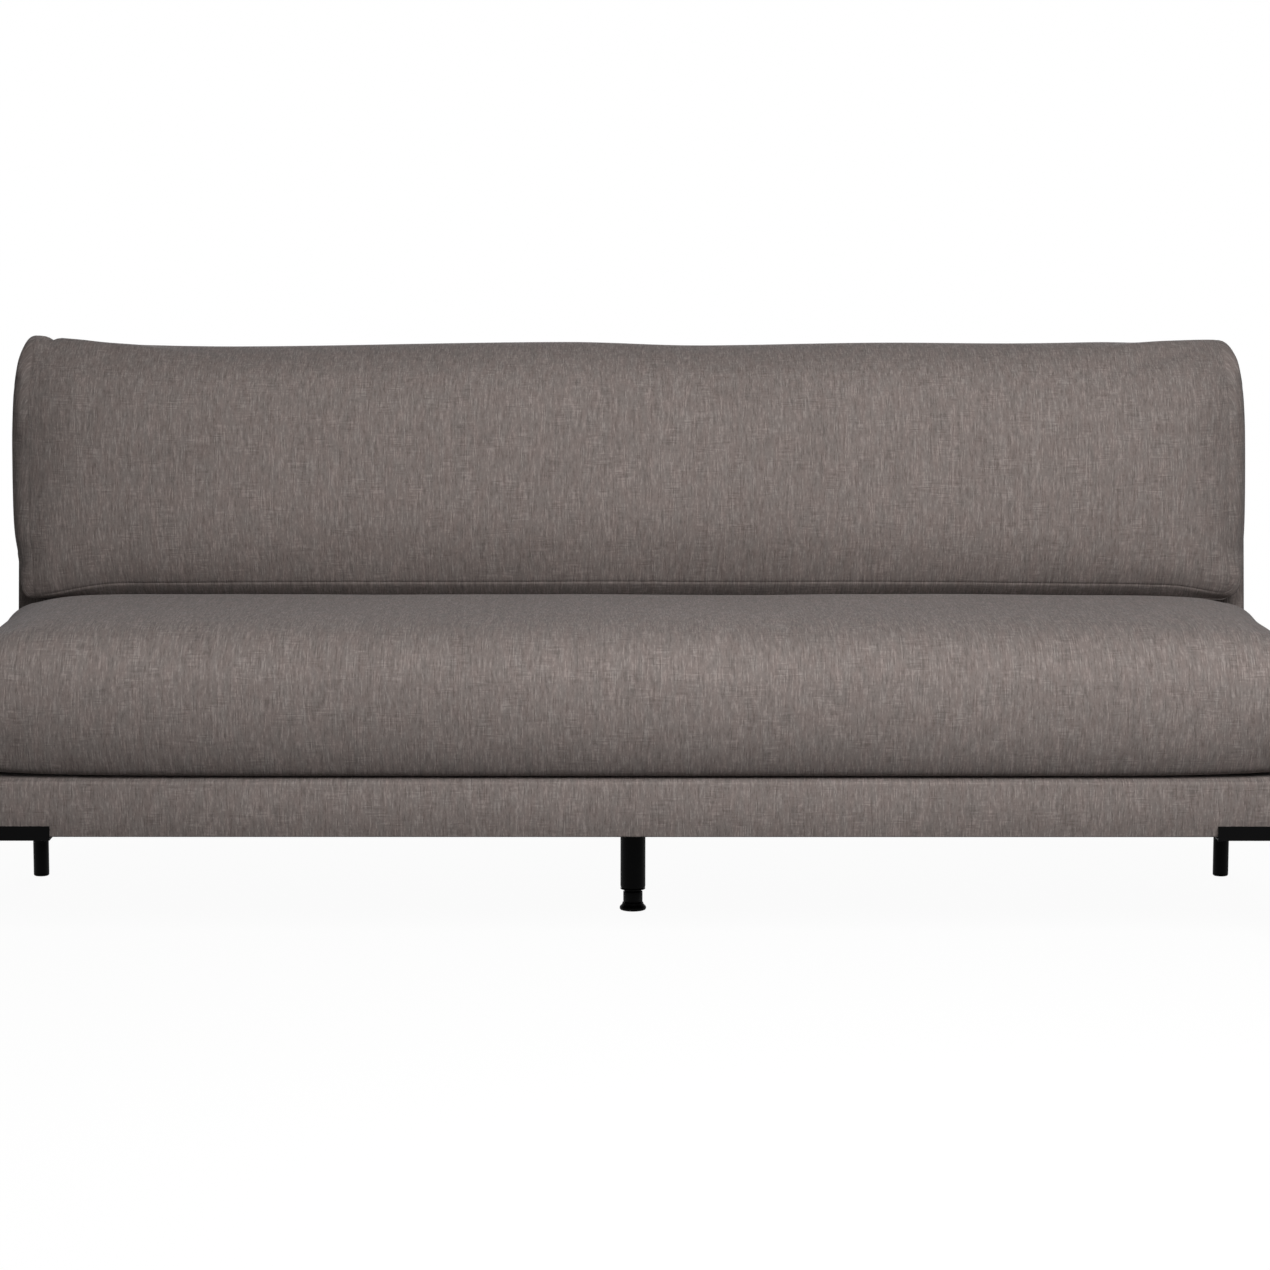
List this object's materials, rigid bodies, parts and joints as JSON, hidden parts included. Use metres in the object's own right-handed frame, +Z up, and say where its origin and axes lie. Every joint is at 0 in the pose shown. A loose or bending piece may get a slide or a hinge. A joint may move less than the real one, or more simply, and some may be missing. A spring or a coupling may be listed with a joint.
{
  "type": "dining sofa module",
  "caption": "Armless upholstered dining sofa module with loose seat and back cushions, a raked back panel, black steel corner angles with round legs and a screw-adjusted centre leg.",
  "frame": {"origin": "on the floor, under the middle of the sofa's bounding box", "axes": "+X to the sitter's left as seen from the front (right in the front view), -Y to the front, +Z up"},
  "size_m": [1.976, 0.719, 0.8651],
  "materials": {
    "upholstery": "matte",
    "lining": "matte",
    "webbing": "matte",
    "foam": "matte",
    "fibre": "matte",
    "zip": "matte",
    "timber": "matte",
    "board": "matte",
    "black_steel": "satin",
    "black_plastic": "satin",
    "zinc": "satin"
  },
  "bodies": {
    "sofa_frame": {"base_front_rail": "timber", "base_rear_rail": "timber", "base_left_rail": "timber", "base_right_rail": "timber", "base_left_cross_rail": "timber", "base_centre_cross_rail": "timber", "base_right_cross_rail": "timber", "corner_block_front_left": "timber", "corner_block_front_right": "timber", "corner_block_rear_left": "timber", "corner_block_rear_right": "timber", "seat_webbing_1": "webbing", "seat_webbing_2": "webbing", "seat_webbing_3": "webbing", "seat_webbing_4": "webbing", "seat_webbing_5": "webbing", "seat_webbing_6": "webbing", "seat_webbing_7": "webbing", "seat_webbing_8": "webbing", "deck_cloth": "lining", "dust_cover": "lining", "base_cover": "upholstery", "side_angle_left": "black_steel", "side_angle_right": "black_steel", "leg_front_left": "black_steel", "leg_front_right": "black_steel", "leg_rear_left": "black_steel", "leg_rear_right": "black_steel", "leg_glide_front_left": "black_plastic", "leg_glide_front_right": "black_plastic", "leg_glide_rear_left": "black_plastic", "leg_glide_rear_right": "black_plastic", "centre_leg_plate": "black_steel", "centre_leg_tube": "black_steel", "centre_leg_bush": "black_plastic", "back_bottom_rail": "timber", "back_top_rail": "timber", "back_left_post": "timber", "back_centre_post": "timber", "back_right_post": "timber", "back_front_board": "board", "back_cover": "upholstery", "back_bolt_1": "zinc", "back_bolt_2": "zinc", "back_bolt_3": "zinc", "back_bolt_4": "zinc"},
    "seat_cushion": {"seat_cushion_cover": "upholstery", "seat_cushion_zip": "zip", "seat_foam_core": "foam"},
    "back_cushion": {"back_cushion_cover": "upholstery", "back_cushion_zip": "zip", "back_cushion_fill": "fibre"},
    "foot_pad": {"centre_foot_pad": "black_plastic"},
    "foot_stem": {"centre_foot_stem": "black_plastic"}
  },
  "joints": [
    {"name": "seat_cushion_lift", "type": "slide", "parent": "sofa_frame", "child": "seat_cushion", "axis": [0, 0, 1], "range_m": [0, 0.3]},
    {"name": "back_cushion_lift", "type": "slide", "parent": "seat_cushion", "child": "back_cushion", "axis": [0, 0, 1], "range_m": [0, 0.42]},
    {"name": "foot_height", "type": "slide", "parent": "sofa_frame", "child": "foot_pad", "axis": [0, 0, 1], "range_m": [-0.02, 0.0025]},
    {"name": "foot_screw", "type": "hinge", "parent": "foot_pad", "child": "foot_stem", "pos_m": [0, -0.02351, 0], "axis": [0, 0, 1], "range_deg": [-1810, 235]}
  ],
  "couplings": [
    {"joint": "foot_screw", "follows": "foot_height", "rad_per_m": 1570.8}
  ]
}
